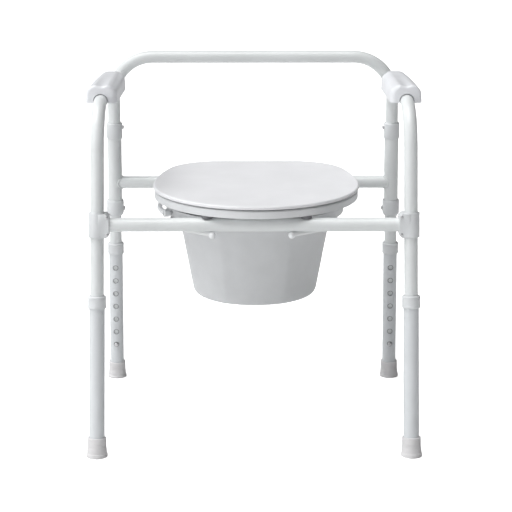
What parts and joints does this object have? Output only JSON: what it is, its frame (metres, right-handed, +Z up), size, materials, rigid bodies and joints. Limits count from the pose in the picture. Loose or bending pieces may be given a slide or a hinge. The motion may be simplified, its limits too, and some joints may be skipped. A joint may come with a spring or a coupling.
{
  "type": "commode chair",
  "caption": "Bedside commode chair: tube frame with plastic armrests, hinged seat and lid, pail on rods, telescoping legs with rubber feet.",
  "frame": {"origin": "on the floor, under the middle of the chair's bounding box", "axes": "+Z up, the front of the chair faces -Y, +X is to the right as seen from the front"},
  "size_m": [0.554, 0.4668, 0.6211],
  "materials": {
    "powder_coat": "gloss powder coat",
    "leg_coat": "gloss powder coat",
    "rod_coat": "vinyl dipped",
    "collar_plastic": "satin moulded",
    "armrest_plastic": "satin moulded",
    "seat_plastic": "satin moulded",
    "lid_plastic": "satin moulded",
    "pail_plastic": "satin moulded",
    "bail_plastic": "satin moulded",
    "tip_vinyl": "gloss",
    "foot_rubber": "matt",
    "pad_rubber": "matt",
    "button_steel": "zinc plated",
    "steel": "zinc plated"
  },
  "bodies": {
    "frame": {"side_tube_left": "powder_coat", "rear_lower_tube_left": "powder_coat", "rear_sleeve_left": "powder_coat", "sleeve_top_collar_left": "collar_plastic", "sleeve_lower_collar_left": "collar_plastic", "back_bar_receiver_left": "powder_coat", "front_connector_left": "collar_plastic", "pail_rod_left": "rod_coat", "armrest_left": "armrest_plastic", "hinge_bracket_left": "seat_plastic", "side_tube_right": "powder_coat", "rear_lower_tube_right": "powder_coat", "rear_sleeve_right": "powder_coat", "sleeve_top_collar_right": "collar_plastic", "sleeve_lower_collar_right": "collar_plastic", "back_bar_receiver_right": "powder_coat", "front_connector_right": "collar_plastic", "pail_rod_right": "rod_coat", "armrest_right": "armrest_plastic", "hinge_bracket_right": "seat_plastic", "connector_rivets": "steel", "front_bar": "powder_coat", "rear_crossbar": "powder_coat", "receiver_plates": "powder_coat", "pail_rod_tips": "tip_vinyl", "button_springs": "steel", "armrest_screws": "steel", "hinge_pins": "steel"},
    "back_bar": {"back_bar": "powder_coat"},
    "leg_front_left": {"leg_tube_front_left": "leg_coat", "leg_collar_front_left": "collar_plastic", "foot_front_left": "foot_rubber"},
    "leg_front_right": {"leg_tube_front_right": "leg_coat", "leg_collar_front_right": "collar_plastic", "foot_front_right": "foot_rubber"},
    "leg_rear_left": {"leg_tube_rear_left": "leg_coat", "leg_collar_rear_left": "collar_plastic", "foot_rear_left": "foot_rubber"},
    "leg_rear_right": {"leg_tube_rear_right": "leg_coat", "leg_collar_rear_right": "collar_plastic", "foot_rear_right": "foot_rubber"},
    "snap_button_front_left": {"snap_button_front_left": "button_steel"},
    "snap_button_front_right": {"snap_button_front_right": "button_steel"},
    "snap_button_rear_left": {"snap_button_rear_left": "button_steel"},
    "snap_button_rear_right": {"snap_button_rear_right": "button_steel"},
    "snap_button_sleeve_top_left": {"snap_button_sleeve_top_left": "button_steel"},
    "snap_button_sleeve_lower_left": {"snap_button_sleeve_lower_left": "button_steel"},
    "snap_button_sleeve_top_right": {"snap_button_sleeve_top_right": "button_steel"},
    "snap_button_sleeve_lower_right": {"snap_button_sleeve_lower_right": "button_steel"},
    "seat": {"seat_ring": "seat_plastic", "seat_pads": "pad_rubber"},
    "lid": {"lid": "lid_plastic", "lid_pads": "pad_rubber"},
    "pail": {"pail": "pail_plastic", "pail_rim": "pail_plastic"},
    "pail_bail": {"pail_bail": "bail_plastic"}
  },
  "joints": [
    {"name": "back_bar_lift", "type": "slide", "parent": "frame", "child": "back_bar", "axis": [0, 0, 1], "range_m": [0, 0.09]},
    {"name": "leg_front_left_slide", "type": "slide", "parent": "frame", "child": "leg_front_left", "axis": [-0.0156, -0.0854, -0.9962], "range_m": [0, 0.1524]},
    {"name": "leg_front_right_slide", "type": "slide", "parent": "frame", "child": "leg_front_right", "axis": [0.0156, -0.0854, -0.9962], "range_m": [0, 0.1524]},
    {"name": "leg_rear_left_slide", "type": "slide", "parent": "frame", "child": "leg_rear_left", "axis": [-0.0156, 0.0854, -0.9962], "range_m": [0, 0.1524]},
    {"name": "leg_rear_right_slide", "type": "slide", "parent": "frame", "child": "leg_rear_right", "axis": [0.0156, 0.0854, -0.9962], "range_m": [0, 0.1524]},
    {"name": "snap_button_front_left_press", "type": "slide", "parent": "frame", "child": "snap_button_front_left", "axis": [0.0013, -0.9963, 0.0854], "range_m": [0, 0.0046], "stiffness_N_per_m": 1200, "springref_m": -0.003, "deforming": ["button_springs"]},
    {"name": "snap_button_front_right_press", "type": "slide", "parent": "frame", "child": "snap_button_front_right", "axis": [-0.0013, -0.9963, 0.0854], "range_m": [0, 0.0046], "stiffness_N_per_m": 1200, "springref_m": -0.003, "deforming": ["button_springs"]},
    {"name": "snap_button_rear_left_press", "type": "slide", "parent": "frame", "child": "snap_button_rear_left", "axis": [0.0013, 0.9963, 0.0854], "range_m": [0, 0.0046], "stiffness_N_per_m": 1200, "springref_m": -0.003, "deforming": ["button_springs"]},
    {"name": "snap_button_rear_right_press", "type": "slide", "parent": "frame", "child": "snap_button_rear_right", "axis": [-0.0013, 0.9963, 0.0854], "range_m": [0, 0.0046], "stiffness_N_per_m": 1200, "springref_m": -0.003, "deforming": ["button_springs"]},
    {"name": "snap_button_sleeve_top_left_press", "type": "slide", "parent": "frame", "child": "snap_button_sleeve_top_left", "axis": [-0.9999, -0.0013, 0.0156], "range_m": [0, 0.0061], "stiffness_N_per_m": 1200, "springref_m": -0.003, "deforming": ["button_springs"]},
    {"name": "snap_button_sleeve_lower_left_press", "type": "slide", "parent": "frame", "child": "snap_button_sleeve_lower_left", "axis": [-0.9999, -0.0013, 0.0156], "range_m": [0, 0.0074], "stiffness_N_per_m": 1200, "springref_m": -0.003, "deforming": ["button_springs"]},
    {"name": "snap_button_sleeve_top_right_press", "type": "slide", "parent": "frame", "child": "snap_button_sleeve_top_right", "axis": [0.9999, -0.0013, 0.0156], "range_m": [0, 0.0061], "stiffness_N_per_m": 1200, "springref_m": -0.003, "deforming": ["button_springs"]},
    {"name": "snap_button_sleeve_lower_right_press", "type": "slide", "parent": "frame", "child": "snap_button_sleeve_lower_right", "axis": [0.9999, -0.0013, 0.0156], "range_m": [0, 0.0074], "stiffness_N_per_m": 1200, "springref_m": -0.003, "deforming": ["button_springs"]},
    {"name": "seat_hinge", "type": "hinge", "parent": "frame", "child": "seat", "pos_m": [0, 0.1486, 0.41553], "axis": [1, 0, 0], "range_deg": [-93, 0]},
    {"name": "lid_hinge", "type": "hinge", "parent": "seat", "child": "lid", "pos_m": [0, 0.1486, 0.41553], "axis": [-1, 0, 0], "range_deg": [0, 93]},
    {"name": "pail_lift", "type": "slide", "parent": "frame", "child": "pail", "axis": [0, 0, 1], "range_m": [0, 0.008]},
    {"name": "pail_bail_hinge", "type": "hinge", "parent": "pail", "child": "pail_bail", "pos_m": [0.002, -0.015, 0.3801], "axis": [-0.9239, -0.3827, 0], "range_deg": [-4.5, 0]}
  ]
}
